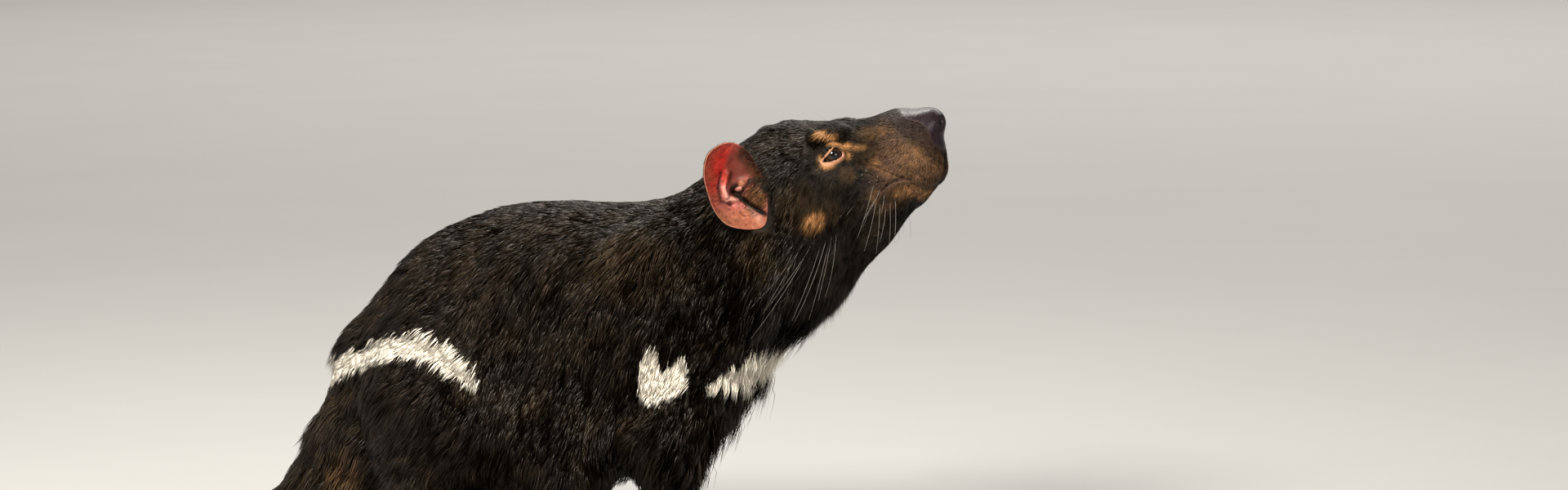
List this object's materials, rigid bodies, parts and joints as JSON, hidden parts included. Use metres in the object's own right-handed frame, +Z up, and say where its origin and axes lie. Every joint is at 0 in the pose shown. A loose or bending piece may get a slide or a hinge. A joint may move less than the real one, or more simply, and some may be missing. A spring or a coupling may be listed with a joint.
{
  "type": "tasmanian devil",
  "caption": "Still life-size model of a Tasmanian devil on flexed hind legs, head raised, thick tail laid on the floor.",
  "frame": {"origin": "middle of the model's box at floor level, under the chest and belly", "axes": "+X forward from tail to nose, +Y to the animal's left, +Z up from the floor"},
  "size_m": [0.6204, 0.1934, 0.3588],
  "materials": {
    "coat": "coarse black fur with a soft sheen",
    "ear_skin": "thin bare pink skin",
    "nose_skin": "moist pebbled dark skin",
    "eye": "wet gloss",
    "claw": "horn, half gloss"
  },
  "bodies": {
    "root": {"head": "coat", "nose_pad": "nose_skin", "ear_right": "ear_skin", "ear_left": "ear_skin", "eye_right": "eye", "eye_left": "eye", "neck": "coat", "chest": "coat", "belly": "coat", "rump": "coat", "tail_root": "coat", "tail_middle": "coat", "tail_tip": "coat", "upper_arm_right": "coat", "upper_arm_left": "coat", "forearm_right": "coat", "forearm_left": "coat", "forefoot_right": "coat", "forefoot_left": "coat", "thigh_right": "coat", "thigh_left": "coat", "shank_right": "coat", "shank_left": "coat", "hindfoot_right": "coat", "hindfoot_left": "coat", "claw_fore_right_1": "claw", "claw_fore_right_2": "claw", "claw_fore_right_3": "claw", "claw_fore_right_4": "claw", "claw_fore_right_5": "claw", "claw_fore_left_1": "claw", "claw_fore_left_2": "claw", "claw_fore_left_3": "claw", "claw_fore_left_4": "claw", "claw_fore_left_5": "claw", "claw_hind_right_1": "claw", "claw_hind_right_2": "claw", "claw_hind_right_3": "claw", "claw_hind_right_4": "claw", "claw_hind_left_1": "claw", "claw_hind_left_2": "claw", "claw_hind_left_3": "claw", "claw_hind_left_4": "claw"}
  },
  "joints": []
}
